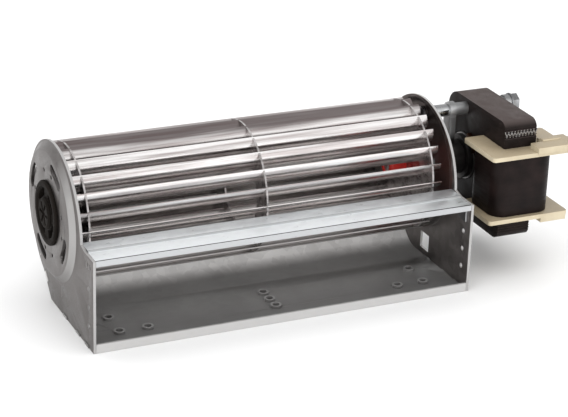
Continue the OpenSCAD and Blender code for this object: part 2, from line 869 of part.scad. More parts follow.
module outer_motor_bearing() {
    color("peru") on_axis() translate([stack_end_x + seat, 0, 0]) mirror([1, 0, 0]) motor_bearing();
}

module spacer_tubes() {
    tube_end = stack_x - seat - bridge_off - bridge_t;
    color("silver") on_axis() for (s = [-1, 1]) translate([0, 0, s * screw_z]) difference() {
        rod(pillar_r, dish_outer_x + seat, tube_end - dish_outer_x - 2 * seat);
        rod(screw_hole_r, dish_outer_x - 1, tube_end - dish_outer_x + 2);
    }
}

nut_x = stack_end_x + seat + outer_bridge_off + bridge_t + seat + washer_t;
nut_flats = 7;
screw_past_nut = 0.8;

module motor_screws() {
    color("lightgray") on_axis() for (s = [-1, 1]) translate([0, 0, s * screw_z]) {
        rod(screw_r, dish_inner_x - seat - 1, nut_x + nut_h + screw_past_nut + seat + 1 - dish_inner_x);
        rod(screw_head_r, dish_inner_x - seat - head_h, head_h);
    }
}

module motor_nuts() {
    nut_r = nut_flats / sqrt(3);
    color("silver") on_axis() for (s = [-1, 1]) translate([nut_x + seat, 0, s * screw_z]) {
        rotate([0, 90, 0]) difference() {
            cylinder(r = nut_r, h = nut_h, $fn = 6);
            translate([0, 0, -1]) cylinder(r = screw_r + 0.03, h = nut_h + 2, $fn = 32);
        }
    }
}

module nut_washers() {
    color("silver") on_axis() for (s = [-1, 1]) translate([0, 0, s * screw_z]) difference() {
        rod(washer_r, nut_x - washer_t, washer_t);
        rod(screw_hole_r, nut_x - washer_t - 1, washer_t + 2);
    }
}

left_side_plate();
right_side_plate();
scroll_housing();
stabiliser();
bearing_mount();
end_bearing();
impeller_blades();
impeller_left_disc();
impeller_middle_ring();
impeller_right_disc();
stub_shaft();
silicone_hub();
drive_shaft();
rotor_core();
rotor_cage();
stator_frame();
coil_core();
shading_rings();
bobbin();
coil_winding();
terminals();
inner_bearing_bridge();
outer_bearing_bridge();
inner_motor_bearing();
outer_motor_bearing();
bearing_cup();
spacer_tubes();
motor_screws();
motor_nuts();
nut_washers();
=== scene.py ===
# %% [markdown]
# A cross-flow fan is a long drum of thin blades that turns inside a folded sheet housing. A small
# motor at the right-hand end turns it. The solids of every piece come from the CAD model. This
# file gives them their rounded edges, their metal, rubber and plastic finishes, and the small
# repeated details that catch the light.

import json
import math

import bmesh
import bpy
from mathutils import Matrix, Vector

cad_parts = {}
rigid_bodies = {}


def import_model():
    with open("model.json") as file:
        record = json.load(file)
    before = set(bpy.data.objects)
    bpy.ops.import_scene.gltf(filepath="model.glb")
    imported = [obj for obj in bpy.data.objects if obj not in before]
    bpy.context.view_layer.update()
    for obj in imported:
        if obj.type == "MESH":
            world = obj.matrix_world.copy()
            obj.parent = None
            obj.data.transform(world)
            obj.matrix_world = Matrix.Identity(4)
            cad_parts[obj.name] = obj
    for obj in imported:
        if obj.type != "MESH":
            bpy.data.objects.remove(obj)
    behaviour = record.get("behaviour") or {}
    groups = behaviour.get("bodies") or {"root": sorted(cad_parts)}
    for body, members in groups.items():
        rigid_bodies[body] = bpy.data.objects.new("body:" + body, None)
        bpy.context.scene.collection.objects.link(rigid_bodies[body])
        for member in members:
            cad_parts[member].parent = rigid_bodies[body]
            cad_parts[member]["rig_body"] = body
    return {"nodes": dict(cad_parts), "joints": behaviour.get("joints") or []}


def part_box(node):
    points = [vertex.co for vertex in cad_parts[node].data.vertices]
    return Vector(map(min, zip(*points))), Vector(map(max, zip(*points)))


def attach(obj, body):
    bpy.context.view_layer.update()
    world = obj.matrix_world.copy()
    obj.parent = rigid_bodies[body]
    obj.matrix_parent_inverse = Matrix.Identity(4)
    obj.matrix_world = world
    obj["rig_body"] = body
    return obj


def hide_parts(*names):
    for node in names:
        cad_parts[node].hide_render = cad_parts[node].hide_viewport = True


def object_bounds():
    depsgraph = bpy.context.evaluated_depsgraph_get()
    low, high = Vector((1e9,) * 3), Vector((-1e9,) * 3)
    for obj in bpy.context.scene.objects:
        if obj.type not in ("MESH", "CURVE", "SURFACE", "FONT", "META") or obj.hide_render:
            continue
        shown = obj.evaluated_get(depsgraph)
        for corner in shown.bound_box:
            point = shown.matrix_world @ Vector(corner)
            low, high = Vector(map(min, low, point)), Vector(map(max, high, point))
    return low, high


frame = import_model()
cad_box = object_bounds()
nodes = frame["nodes"]
MM = 0.001
print("CAD box:", [[round(v, 4) for v in corner] for corner in cad_box])

# %% [markdown]
# Everything that is placed later hangs on a few places of the object: the fan axis, the discs of
# the drum, and the front edges of the duct's floor and of the strip above it. They are read from
# the frame, so a new size in the CAD model moves the details too.

# %% Find the main places
spin = frame["joints"][0]
AXIS_Y, AXIS_Z = spin["pos_m"][1], spin["pos_m"][2]


def middle(node, k):
    low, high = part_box(node)
    return (low[k] + high[k]) / 2


LEFT_DISC_X = middle("impeller_left_disc", 0)
RIGHT_DISC_X = middle("impeller_right_disc", 0)
DUCT_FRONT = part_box("scroll_housing")[0][1]
STRIP_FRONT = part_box("stabiliser")[0][1]
print("axis at", round(AXIS_Y, 5), round(AXIS_Z, 5))
print("discs at", round(LEFT_DISC_X, 5), round(RIGHT_DISC_X, 5), "front at", round(DUCT_FRONT, 5))

# %% [markdown]
# The camera comes first, because every later choice is judged through it. It was found by fitting
# a pinhole camera to the three rings of the drum. It stands to the left of the fan, looks 25
# degrees to the right and 23 degrees down, and uses a long lens. The distances are from the fan
# axis at the drum's left-hand disc.

# %% Set up the camera
PHOTO_WIDTH = 568
FOCAL_PIXELS = 1985.3
CAMERA_YAW = math.radians(24.86)
CAMERA_PITCH = math.radians(22.85)
CAMERA_ROLL = math.radians(1.93)
CAMERA_FROM_DISC = Vector((-244.1, -747.4, 333.1)) * MM


def camera_matrix(place, yaw, pitch, roll):
    """Where the camera stands and which way it looks, from its heading, its dip and its tilt."""
    forward = Vector(
        (math.sin(yaw) * math.cos(pitch), math.cos(yaw) * math.cos(pitch), -math.sin(pitch))
    )
    level = Vector((math.cos(yaw), -math.sin(yaw), 0))
    up = level.cross(forward)
    right = math.cos(roll) * level + math.sin(roll) * up
    top = math.cos(roll) * up - math.sin(roll) * level
    turn = Matrix((right, top, -forward)).transposed()
    return Matrix.Translation(place) @ turn.to_4x4()


camera_data = bpy.data.cameras.new("camera")
camera_data.sensor_width = 36
camera_data.lens = FOCAL_PIXELS * camera_data.sensor_width / PHOTO_WIDTH
camera_data.clip_end = 10
camera = bpy.data.objects.new("camera", camera_data)
camera_place = Vector((LEFT_DISC_X, AXIS_Y, AXIS_Z)) + CAMERA_FROM_DISC
camera.matrix_world = camera_matrix(camera_place, CAMERA_YAW, CAMERA_PITCH, CAMERA_ROLL)
bpy.context.scene.collection.objects.link(camera)
bpy.context.scene.camera = camera
print("lens", round(camera_data.lens, 1), "mm, camera at", [round(v, 4) for v in camera_place])

# %% [markdown]
# A material is a small graph of nodes. One class keeps the graphs short. It starts a material with
# its shader, and its methods add noise, blend two colours by a mask, or measure where a point lies
# and which way its face looks. The patterns read Object coordinates in metres, so they stay on the
# metal when the drum turns.

# %% Helpers for materials


def plug(tree, value, socket):
    """Links a value that comes from a node, and writes any other value into the socket."""
    if isinstance(value, bpy.types.NodeSocket):
        tree.links.new(value, socket)
    else:
        socket.default_value = value


class Finish:
    """A material's node graph, with short names for what is added often."""

    def __init__(self, name, colour, rough, metal=0.0):
        self.material = bpy.data.materials.new(name)
        self.material.use_nodes = True
        self.tree = self.material.node_tree
        self.shader = self.tree.nodes["Principled BSDF"]
        self.set("Base Color", (*colour, 1))
        self.set("Roughness", rough)
        self.set("Metallic", metal)
        self.place = self.add("ShaderNodeTexCoord").outputs["Object"]

    def set(self, socket, value):
        """Writes a value straight into the shader."""
        self.shader.inputs[socket].default_value = value

    def add(self, kind, **inputs):
        """Adds a node. A space in the name of an input is written as an underscore."""
        node = self.tree.nodes.new(kind)
        for key, value in inputs.items():
            plug(self.tree, value, node.inputs[key.replace("_", " ")])
        return node

    def axis(self, letter):
        """One of the Object coordinates."""
        return self.add("ShaderNodeSeparateXYZ", Vector=self.place).outputs[letter]

    def stretched(self, x, y, z):
        """Object coordinates with each axis scaled by itself."""
        return self.add("ShaderNodeMapping", Vector=self.place, Scale=(x, y, z)).outputs["Vector"]

    def noise(self, size, detail=3.0, where=None):
        """Noise whose blotches are about size metres wide."""
        vector = where or self.place
        noise = self.add("ShaderNodeTexNoise", Vector=vector, Scale=1 / size, Detail=detail)
        return noise.outputs["Fac"]

    def ramp(self, value, low, high, out_low=0.0, out_high=1.0):
        """Maps low..high to out_low..out_high and holds the ends beyond them."""
        ends = {"From_Min": low, "From_Max": high, "To_Min": out_low, "To_Max": out_high}
        return self.add("ShaderNodeMapRange", Value=value, **ends).outputs["Result"]

    def blend(self, mask, first, second):
        """first where the mask is 0, second where it is 1."""
        node = self.add("ShaderNodeMix")
        node.data_type = "RGBA"
        plug(self.tree, mask, node.inputs["Factor"])
        for key, tint in ((6, first), (7, second)):
            linked = isinstance(tint, bpy.types.NodeSocket)
            plug(self.tree, tint if linked else (*tint, 1), node.inputs[key])
        return node.outputs[2]

    def math(self, kind, a, b=0.0):
        node = self.add("ShaderNodeMath")
        node.operation = kind
        plug(self.tree, a, node.inputs[0])
        plug(self.tree, b, node.inputs[1])
        return node.outputs["Value"]

    def away(self):
        """How far a point lies from the fan axis along Y and along Z."""
        dy = self.math("SUBTRACT", self.axis("Y"), AXIS_Y)
        return dy, self.math("SUBTRACT", self.axis("Z"), AXIS_Z)

    def from_axis(self):
        """Distance from the fan axis."""
        dy, dz = self.away()
        square = self.math("ADD", self.math("MULTIPLY", dy, dy), self.math("MULTIPLY", dz, dz))
        return self.math("SQRT", square)

    def turn_from_top(self):
        """Angle round the fan axis from straight up towards +Y."""
        dy, dz = self.away()
        return self.math("ARCTAN2", dy, dz)

    def facing(self, letter):
        """How far a face looks along an axis, from -1 to 1."""
        normal = self.add("ShaderNodeNewGeometry").outputs["Normal"]
        return self.add("ShaderNodeSeparateXYZ", Vector=normal).outputs[letter]

    def colour(self, socket):
        self.tree.links.new(socket, self.shader.inputs["Base Color"])

    def rough(self, socket):
        self.tree.links.new(socket, self.shader.inputs["Roughness"])

    def bump(self, height, depth):
        """Bump of depth metres. Each call after the first lies over the earlier ones."""
        node = self.add("ShaderNodeBump", Height=height, Distance=depth, Strength=1.0)
        normal = self.shader.inputs["Normal"]
        if normal.links:
            self.tree.links.new(normal.links[0].from_socket, node.inputs["Normal"])
        self.tree.links.new(node.outputs["Normal"], normal)


print("material helpers ready")

# %% [markdown]
# The housing is hot-dip galvanised sheet. Zinc freezes in crystals a few millimetres wide, the
# spangle, and each crystal mirrors the light a little differently. Voronoi cells give the
# crystals. A noise shifts their borders, so they aren't straight, and the random value of a cell
# moves its colour and its roughness. Faint rolling lines and smears of handling lie over them.

# %% Galvanised sheet
CRYSTAL_SHARE = 0.45
BORDER_SHIFT = 1.2 * MM
BORDER_NOISE_SCALE = 300


def spangle_cells(f, size):
    """A random value for each zinc crystal."""
    wobble = f.add("ShaderNodeTexNoise", Vector=f.place, Scale=BORDER_NOISE_SCALE)
    shifted = f.add("ShaderNodeVectorMath")
    shifted.operation = "MULTIPLY_ADD"
    for k, value in enumerate((wobble.outputs["Color"], (BORDER_SHIFT,) * 3, f.place)):
        plug(f.tree, value, shifted.inputs[k])
    cells = f.add("ShaderNodeTexVoronoi", Vector=shifted.outputs["Vector"], Scale=1 / size)
    return f.add("ShaderNodeSeparateColor", Color=cells.outputs["Color"]).outputs["Red"]


def galvanised(name, dark, light, rough, spangle=3.5 * MM, metal=0.85, tint_layers=()):
    """Zinc between two tones. Each layer is a mask and the tint that it lays on."""
    f = Finish(name, light, rough, metal)
    crystal = spangle_cells(f, spangle)
    overlay = f.ramp(f.noise(30 * MM, 5), 0.35, 0.7)
    crystal_part = f.math("MULTIPLY", crystal, CRYSTAL_SHARE)
    tone = f.math("ADD", crystal_part, f.math("MULTIPLY", overlay, 1 - CRYSTAL_SHARE))
    tint = f.blend(tone, dark, light)
    for mask, layer_tint in tint_layers:
        tint = f.blend(mask(f), tint, layer_tint)
    f.colour(tint)
    rolling = f.noise(0.6 * MM, 2, f.stretched(0.12, 1, 1))
    grain = f.math("ADD", f.math("MULTIPLY", crystal, 0.5), rolling)
    f.rough(f.ramp(grain, 0.3, 1.2, rough - 0.08, rough + 0.12))
    f.bump(rolling, 0.02 * MM)
    f.bump(crystal, 0.01 * MM)
    return f.material


print("galvanised recipe ready")

# %% [markdown]
# Painted light and shade and the grey of the scroll's outside are laid on the sheet with masks. A
# mask is a number from 0 to 1 at each point, made from its place or from the direction of its face.
# The first ones find what is brighter or duller than the rest: a painted highlight on the sheared
# edges of the plates and on the shoulder of the dish, a painted highlight on the floor's front lip
# and painted shade on the strip's, and the outside of the scroll, which keeps a grey zinc tone.

# %% Edges, lips and the outside
EDGES_FROM = 27 * MM


def edge_and_shoulder_highlight(f):
    """Painted highlight: high on a plate's sheared edges across X, lower on the drawn shoulder of
    its dish.
    """
    across = f.math("ABSOLUTE", f.facing("X"))
    outer = f.ramp(f.from_axis(), EDGES_FROM, EDGES_FROM + 1 * MM)
    edge = f.math("MULTIPLY", f.ramp(across, 0.3, 0.5, 0.8, 0.0), outer)
    lit_front = f.ramp(f.axis("Y"), AXIS_Y - 26 * MM, AXIS_Y - 10 * MM, 0.6, 0.08)
    shoulder = f.math("MULTIPLY", f.ramp(across, 0.9, 0.98, 1.0, 0.0), lit_front)
    return f.math("MAXIMUM", edge, shoulder)


def floor_lip_highlight(f):
    """Painted highlight: near 1 on the turned-up front lip of the floor."""
    return f.ramp(f.axis("Y"), DUCT_FRONT + 0.8 * MM, DUCT_FRONT + 1.6 * MM, 0.95, 0.0)


def strip_lip_shade(f):
    """Painted shade: near 1 on the strip's front lip, whose faces look to the front."""
    return f.ramp(f.facing("Y"), -0.9, -0.6, 0.9, 0.0)


def outside(f):
    """High on the faces of the scroll that look away from the fan axis."""
    dy, dz = f.away()
    along_y = f.math("MULTIPLY", f.facing("Y"), dy)
    along_z = f.math("MULTIPLY", f.facing("Z"), dz)
    return f.ramp(f.math("ADD", along_y, along_z), 2 * MM, 10 * MM, 0.0, 0.74)


print("edge masks ready")

# %% [markdown]
# The next masks lay on painted shade. It darkens the fold and the crease of the strip and its end
# flanges. Beside the drum the motor-side plate has a round patch of painted shade, brown below, a
# painted reflection of the red hub, and nearly black above, whose border a noise makes uneven. The
# floor of the duct is painted darker than the duct's wall, painted shade.

# %% Painted shade on strip, plate and floor
FOLD_IN = 0.6 * MM
CREASE_IN = 10.1 * MM
SHADE_RADIUS = 33 * MM
FLOOR_TOP = 1.1 * MM
COLLARS_END = DUCT_FRONT + 31 * MM


def line_along_x(f, y, half, soft, strength):
    """A straight line along X of a given half width, with a soft border."""
    off = f.math("ABSOLUTE", f.math("SUBTRACT", f.axis("Y"), y))
    return f.ramp(off, half, half + soft, strength, 0.0)


def seam_shade(f):
    """Painted shade along the strip's front fold and on its end flanges, weaker along its crease.
    """
    fold = line_along_x(f, STRIP_FRONT + FOLD_IN, 0.3 * MM, 0.2 * MM, 0.95)
    crease = line_along_x(f, STRIP_FRONT + CREASE_IN, 0.4 * MM, 0.3 * MM, 0.5)
    ends = f.ramp(f.math("ABSOLUTE", f.facing("X")), 0.8, 0.95, 0.0, 0.85)
    return f.math("MAXIMUM", ends, f.math("MAXIMUM", fold, crease))


def round_shade(f):
    """Painted shade on the motor-side plate's inner face, in the drum's circle, above the duct."""
    uneven = f.math("ADD", f.from_axis(), f.math("MULTIPLY", f.noise(6 * MM, 4), 2 * MM))
    inside = f.ramp(uneven, SHADE_RADIUS, SHADE_RADIUS + 1.5 * MM, 0.92, 0.0)
    inward = f.ramp(f.facing("X"), -0.3, 0.0, 1.0, 0.0)
    above = f.ramp(f.axis("Z"), AXIS_Z - 13 * MM, AXIS_Z - 7 * MM)
    return f.math("MULTIPLY", f.math("MULTIPLY", inside, inward), above)


def upper_round_shade(f):
    """The upper part of the round painted shade, which is nearly black."""
    return f.math("MULTIPLY", round_shade(f), f.ramp(f.axis("Z"), AXIS_Z + 4 * MM, AXIS_Z + 22 * MM))


def floor_shade(f):
    """Painted shade on the floor, weaker towards the back and on the collars, none on the slope."""
    y, z = f.axis("Y"), f.axis("Z")
    shade_strength = f.ramp(y, DUCT_FRONT + 12 * MM, COLLARS_END, 0.87, 0.7)
    floor_only = f.ramp(z, FLOOR_TOP, FLOOR_TOP + 2.5 * MM, 1.0, 0.0)
    behind = f.ramp(y, COLLARS_END - 1 * MM, COLLARS_END - 0.5 * MM)
    collars_too = f.ramp(z, FLOOR_TOP, FLOOR_TOP + 0.3 * MM, 1.0, 0.8)
    ahead = f.ramp(y, COLLARS_END, COLLARS_END + 0.5 * MM, 1.0, 0.0)
    back, front = f.math("MULTIPLY", floor_only, behind), f.math("MULTIPLY", collars_too, ahead)
    return f.math("MULTIPLY", f.math("MAXIMUM", back, front), shade_strength)


print("darkening masks ready")

# %% [markdown]
# With the recipe and the masks, each of the four sheets is a few lines: two tones of zinc, then
# the layers from the first laid on to the last. The two plates are one sheet, and their grey tones,
# the left one darker, are painted light and shade. The strip is bright. The duct's tones are
# painted near white, painted light inside a duct that lies in shade, and it hardly mirrors, so its
# metal value is low.

# %% The four sheets
# painted shade, brown as a painted reflection of the red hub
ROUND_SHADE_TINT = (0.2, 0.1, 0.085)
# painted shade, nearly black
UPPER_SHADE_TINT = (0.05, 0.037, 0.033)
# painted shade in the strip's fold, crease and end flanges
SEAM_SHADE_TINT = (0.045, 0.038, 0.038)
# painted shade on the floor of the duct
FLOOR_SHADE_TINT = (0.095, 0.0935, 0.092)
OUTSIDE_TINT = (0.11, 0.104, 0.101)
# painted highlight on the plates' sheared edges and on the shoulder of the dish
EDGE_HIGHLIGHT_TINT = (0.56, 0.555, 0.55)
# painted shade on the strip's front lip
STRIP_LIP_SHADE = (0.5, 0.51, 0.52)
# painted highlight on the floor's front lip
FLOOR_LIP_HIGHLIGHT = (0.45, 0.445, 0.44)

# The two plates are one sheet; the difference in their tones is painted light and shade.
SHEET = galvanised(
    "galvanised_sheet",
    dark=(0.092, 0.083, 0.079),
    light=(0.172, 0.158, 0.153),
    rough=0.36,
    tint_layers=((edge_and_shoulder_highlight, EDGE_HIGHLIGHT_TINT),),
)
MOTOR_SIDE_SHEET = galvanised(
    "motor_side_sheet",
    dark=(0.15, 0.136, 0.13),
    light=(0.27, 0.25, 0.242),
    rough=0.36,
    tint_layers=((round_shade, ROUND_SHADE_TINT), (upper_round_shade, UPPER_SHADE_TINT), (edge_and_shoulder_highlight, EDGE_HIGHLIGHT_TINT)),
)
# Its near-white tones are painted light, because the duct's inside lies in shade.
DUCT = galvanised(
    "duct_sheet",
    dark=(0.64, 0.63, 0.62),
    light=(0.94, 0.93, 0.92),
    rough=0.36,
    metal=0.1,
    tint_layers=((floor_shade, FLOOR_SHADE_TINT), (outside, OUTSIDE_TINT), (floor_lip_highlight, FLOOR_LIP_HIGHLIGHT)),
)
STRIP = galvanised(
    "galvanised_strip",
    dark=(0.79, 0.825, 0.845),
    light=(0.88, 0.91, 0.925),
    rough=0.34,
    spangle=2.5 * MM,
    tint_layers=((seam_shade, SEAM_SHADE_TINT), (strip_lip_shade, STRIP_LIP_SHADE)),
)
print("galvanised finishes:", SHEET.name, MOTOR_SIDE_SHEET.name, DUCT.name, STRIP.name)

# %% [markdown]
# The drum is made of bright rolled aluminium. Rolling leaves long fine lines along the blades,
# which spread the reflections across them, and the sheet picks up darker streaks, which fade
# towards the motor. Two bands are masked by the turn round the fan axis: a dark one on top, a
# painted reflection, and a grey one underneath, painted shade. They turn with the drum.

# %% Rolled aluminium
TOP_BAND_TURN, TOP_BAND_HALF = math.radians(5), math.radians(18)
UNDER_TURN, UNDER_HALF = math.radians(-146), math.radians(22)
# tints of the painted dark reflection on top and of the painted shade underneath
TOP_REFLECTION_TINT = (0.085, 0.06, 0.059)
UNDERSIDE_SHADE_TINT = (0.36, 0.35, 0.345)


def band(f, turn, half):
    """Near 1 within half of a turn from the top, with a ragged border."""
    off = f.math("ABSOLUTE", f.math("SUBTRACT", f.turn_from_top(), turn))
    ragged = f.math("MULTIPLY", f.noise(2 * MM, 3, f.stretched(0.03, 1, 1)), 0.12)
    return f.ramp(f.math("ADD", off, ragged), half, half + 0.08, 0.85, 0.0)


# painted dark reflection in a band on top of the drum
def top_band_reflection(f):
    return band(f, TOP_BAND_TURN, TOP_BAND_HALF)


# painted shade in a band on the drum's underside
def underside_band_shade(f):
    return band(f, UNDER_TURN, UNDER_HALF)


def rolled_aluminium(name, dark, light, rough, along, streaks, dark_right=None, painted_bands=()):
    """Bright sheet. dark_right is the tone of the dark streaks at the motor's end."""
    f = Finish(name, light, rough, metal=1.0)
    if dark_right:
        dark = f.blend(f.ramp(f.axis("X"), LEFT_DISC_X, RIGHT_DISC_X), dark, dark_right)
    lines = f.noise(0.4 * MM, 3, f.stretched(*along))
    streak = f.noise(streaks, 4, f.stretched(0.03, 1, 1))
    tint = f.blend(f.ramp(streak, 0.38, 0.62), dark, light)
    roughness = f.ramp(f.math("ADD", lines, streak), 0.7, 1.3, rough - 0.06, rough + 0.1)
    for overlay, band_tint in painted_bands:
        mask = overlay(f)
        tint = f.blend(mask, tint, band_tint)
        roughness = f.math("ADD", roughness, f.math("MULTIPLY", mask, 0.2))
    f.colour(tint)
    f.rough(roughness)
    f.bump(lines, 0.012 * MM)
    return f.material


BLADES = rolled_aluminium(
    "rolled_aluminium",
    dark=(0.46, 0.415, 0.407),
    light=(0.98, 0.96, 0.95),
    rough=0.2,
    along=(0.02, 1, 1),
    streaks=1.6 * MM,
    dark_right=(0.72, 0.66, 0.65),
    painted_bands=((top_band_reflection, TOP_REFLECTION_TINT), (underside_band_shade, UNDERSIDE_SHADE_TINT)),
)
DISCS = rolled_aluminium(
    "disc_aluminium",
    dark=(0.36, 0.34, 0.335),
    light=(0.58, 0.555, 0.55),
    rough=0.28,
    along=(1, 0.1, 1),
    streaks=4 * MM,
)
print("aluminium finishes:", BLADES.name, DISCS.name)

# %% [markdown]
# The shafts, tubes, screws, nuts and bearings share one recipe: a metal with fine rings round an
# axis that is the fan's own or runs parallel to it, and a slight change of tone. The tops of the
# plated ones are painted darker, painted shade. The copper rings and the tinned terminals take the
# same recipe in their own colours, and the copper is darkened nearly to black, painted shade.

# %% Turned metal


def darker_top(f, tint, top_tint):
    """Paints the upper side of a round piece darker: painted shade."""
    return f.blend(f.ramp(f.facing("Z"), 0.35, 0.8, 0.0, 0.8), tint, top_tint)


def turned_metal(name, dark, light, rough, pitch=0.4 * MM, top_tint=None):
    f = Finish(name, light, rough, metal=1.0)
    rings = f.noise(pitch, 2, f.stretched(1, 0.04, 0.04))
    tint = f.blend(f.ramp(f.noise(6 * MM, 4), 0.35, 0.7), dark, light)
    f.colour(darker_top(f, tint, top_tint) if top_tint else tint)
    f.rough(f.ramp(rings, 0.3, 0.7, rough - 0.06, rough + 0.1))
    f.bump(rings, 0.01 * MM)
    return f.material


# painted shade on the tops of the plated parts and the tubes
ZINC_TOP_SHADE = (0.12, 0.12, 0.12)
TUBE_TOP_SHADE = (0.17, 0.17, 0.175)
SHAFT = turned_metal("ground_steel", (0.42, 0.42, 0.43), (0.6, 0.6, 0.61), 0.22)
ZINC = turned_metal("zinc_plating", (0.26, 0.265, 0.27), (0.5, 0.505, 0.52), 0.26, top_tint=ZINC_TOP_SHADE)
TUBE = turned_metal(
    "plated_tube", (0.7, 0.71, 0.72), (0.9, 0.91, 0.92), 0.2, pitch=2 * MM, top_tint=TUBE_TOP_SHADE
)
BRONZE = turned_metal("sintered_bronze", (0.28, 0.18, 0.09), (0.5, 0.34, 0.18), 0.45)
# copper darkened nearly to black: painted shade on the shading rings
COPPER_SHADED = turned_metal("darkened_copper", (0.06, 0.025, 0.014), (0.13, 0.055, 0.03), 0.4)
TINNED = turned_metal("tinned_brass", (0.5, 0.49, 0.46), (0.75, 0.74, 0.7), 0.3)
print("turned finishes:", SHAFT.name, ZINC.name, TUBE.name, BRONZE.name, COPPER_SHADED.name, TINNED.name)

# %% [markdown]
# Die-cast bridges are duller than sheet. The melt leaves a fine grain and grey flow clouds. Their
# tones are near black, painted shade, while the arms and the pillars that the screws pass through
# are painted lighter, a painted highlight, with their tops painted darker, painted shade. A mask by
# the height above or below the fan axis tells hub, arms and pillars apart.

# %% Cast metal
ARM_FROM = 10 * MM
PILLAR_FROM = 20.3 * MM
# painted highlight on the pillars and arms, and painted shade on their tops
PILLAR_HIGHLIGHT = (0.66, 0.665, 0.67)
PILLAR_TOP_SHADE = (0.14, 0.14, 0.142)


def lit_pillars(f):
    """Painted highlight: 1 on the pillars of a bearing bridge, less on its arms, 0 on its hub."""
    height = f.math("ABSOLUTE", f.math("SUBTRACT", f.axis("Z"), AXIS_Z))
    arms = f.ramp(height, ARM_FROM, ARM_FROM + 4 * MM, 0.0, 0.75)
    return f.math("MAXIMUM", arms, f.ramp(height, PILLAR_FROM, PILLAR_FROM + 0.3 * MM))


def cast_metal(name, dark, light, rough):
    f = Finish(name, light, rough, metal=0.9)
    grain = f.noise(0.5 * MM, 4)
    clouds = f.blend(f.ramp(f.noise(8 * MM, 6), 0.3, 0.7), dark, light)
    f.colour(f.blend(lit_pillars(f), clouds, darker_top(f, PILLAR_HIGHLIGHT, PILLAR_TOP_SHADE)))
    f.rough(f.ramp(grain, 0.3, 0.7, rough - 0.05, rough + 0.12))
    f.bump(grain, 0.04 * MM)
    return f.material


# near-black tones: painted shade on the bridges and the rotor cage
CAST = cast_metal("cast_aluminium", (0.03, 0.028, 0.027), (0.075, 0.071, 0.068), 0.42)
print("cast finish:", CAST.name)

# %% [markdown]
# The stack is a pile of half-millimetre steel sheets with a thin brown-black varnish. The sheets
# lie across the fan axis, so bands along X give their edges, and the faces that look up are painted
# lighter and browner, painted light. The same recipe in bare metal serves the rotor's core and the
# bright teeth on the front of the stack.

# %% Varnished laminations
LAMINATION = 0.5 * MM
# painted light on the stack's upward faces
STACK_TOP_LIGHT = (0.066, 0.051, 0.048)
SHEET_SHARE = 0.35


def laminations(name, dark, light, rough, metal, top_tint=None):
    f = Finish(name, light, rough, metal)
    waver = f.math("MULTIPLY", f.noise(3 * MM, 2), 0.12 * MM)
    phase = f.math("MULTIPLY", f.math("ADD", f.axis("X"), waver), 2 * math.pi / LAMINATION)
    sheets = f.ramp(f.math("SINE", phase), -1, 1)
    varnish = f.ramp(f.noise(5 * MM, 5), 0.35, 0.7)
    sheet_part = f.math("MULTIPLY", sheets, SHEET_SHARE)
    tone = f.math("ADD", sheet_part, f.math("MULTIPLY", varnish, 1 - SHEET_SHARE))
    tint = f.blend(tone, dark, light)
    if top_tint:
        tint = f.blend(f.ramp(f.facing("Z"), 0.5, 0.95, 0.0, 0.9), tint, top_tint)
    f.colour(tint)
    f.set("Specular IOR Level", 0.11)
    f.rough(f.ramp(varnish, 0, 1, rough - 0.08, rough + 0.12))
    f.bump(sheets, 0.06 * MM)
    f.bump(f.noise(1.2 * MM, 3), 0.03 * MM)
    return f.material


STACK = laminations(
    "varnished_laminations", (0.006, 0.0045, 0.004), (0.02, 0.014, 0.013), 0.5, 0.0, STACK_TOP_LIGHT
)
# bright teeth: a painted highlight on the stack's front corner
TEETH_HIGHLIGHT = laminations("sheet_edges_highlight", (0.28, 0.272, 0.27), (0.54, 0.53, 0.525), 0.3, 1.0)
BARE_STACK = laminations("bare_laminations", (0.12, 0.12, 0.12), (0.32, 0.31, 0.3), 0.4, 0.9)
print("stack finishes:", STACK.name, TEETH_HIGHLIGHT.name, BARE_STACK.name)

# %% [markdown]
# The bobbin is cream nylon with a soft shine and slight flow marks, and a darker tan on the faces
# that look up. The rubber mount is matt and grainy. The silicone hub is smoother and lets a little
# light in.

# %% Plastics and rubbers
# a darker tan on the bobbin's upward faces
NYLON_TOP_TINT = (0.27, 0.215, 0.14)


def moulded(name, dark, light, rough, grain=0.4 * MM, specular=0.5, soft=0.0, top_tint=None):
    f = Finish(name, light, rough)
    f.set("Specular IOR Level", specular)
    f.set("Subsurface Weight", soft)
    f.set("Subsurface Radius", (2 * MM, 1.4 * MM, 1 * MM))
    tint = f.blend(f.ramp(f.noise(12 * MM, 4), 0.3, 0.7), dark, light)
    if top_tint:
        tint = f.blend(f.ramp(f.facing("Z"), 0.6, 0.95, 0.0, 0.8), tint, top_tint)
    f.colour(tint)
    skin = f.noise(grain, 3)
    f.rough(f.ramp(skin, 0.3, 0.7, rough - 0.06, rough + 0.1))
    f.bump(skin, 0.02 * MM)
    return f.material


CREAM = moulded(
    "cream_plastic", (0.43, 0.365, 0.25), (0.58, 0.505, 0.365), 0.42, soft=0.05, top_tint=NYLON_TOP_TINT
)
RUBBER = moulded(
    "black_rubber",
    (0.0055, 0.0042, 0.0032),
    (0.014, 0.011, 0.009),
    0.75,
    grain=0.8 * MM,
    specular=0.1,
)
SILICONE = moulded("red_silicone", (0.4, 0.012, 0.008), (0.6, 0.022, 0.012), 0.38, soft=0.1)
print("soft finishes:", CREAM.name, RUBBER.name, SILICONE.name)

# %% [markdown]
# The coil is wrapped in dark brown lacquered tape. Its turns overlap, so low steps run round it,
# and the lacquer gives long soft highlights.

# %% Wound tape
TAPE_STEP = 4.5 * MM


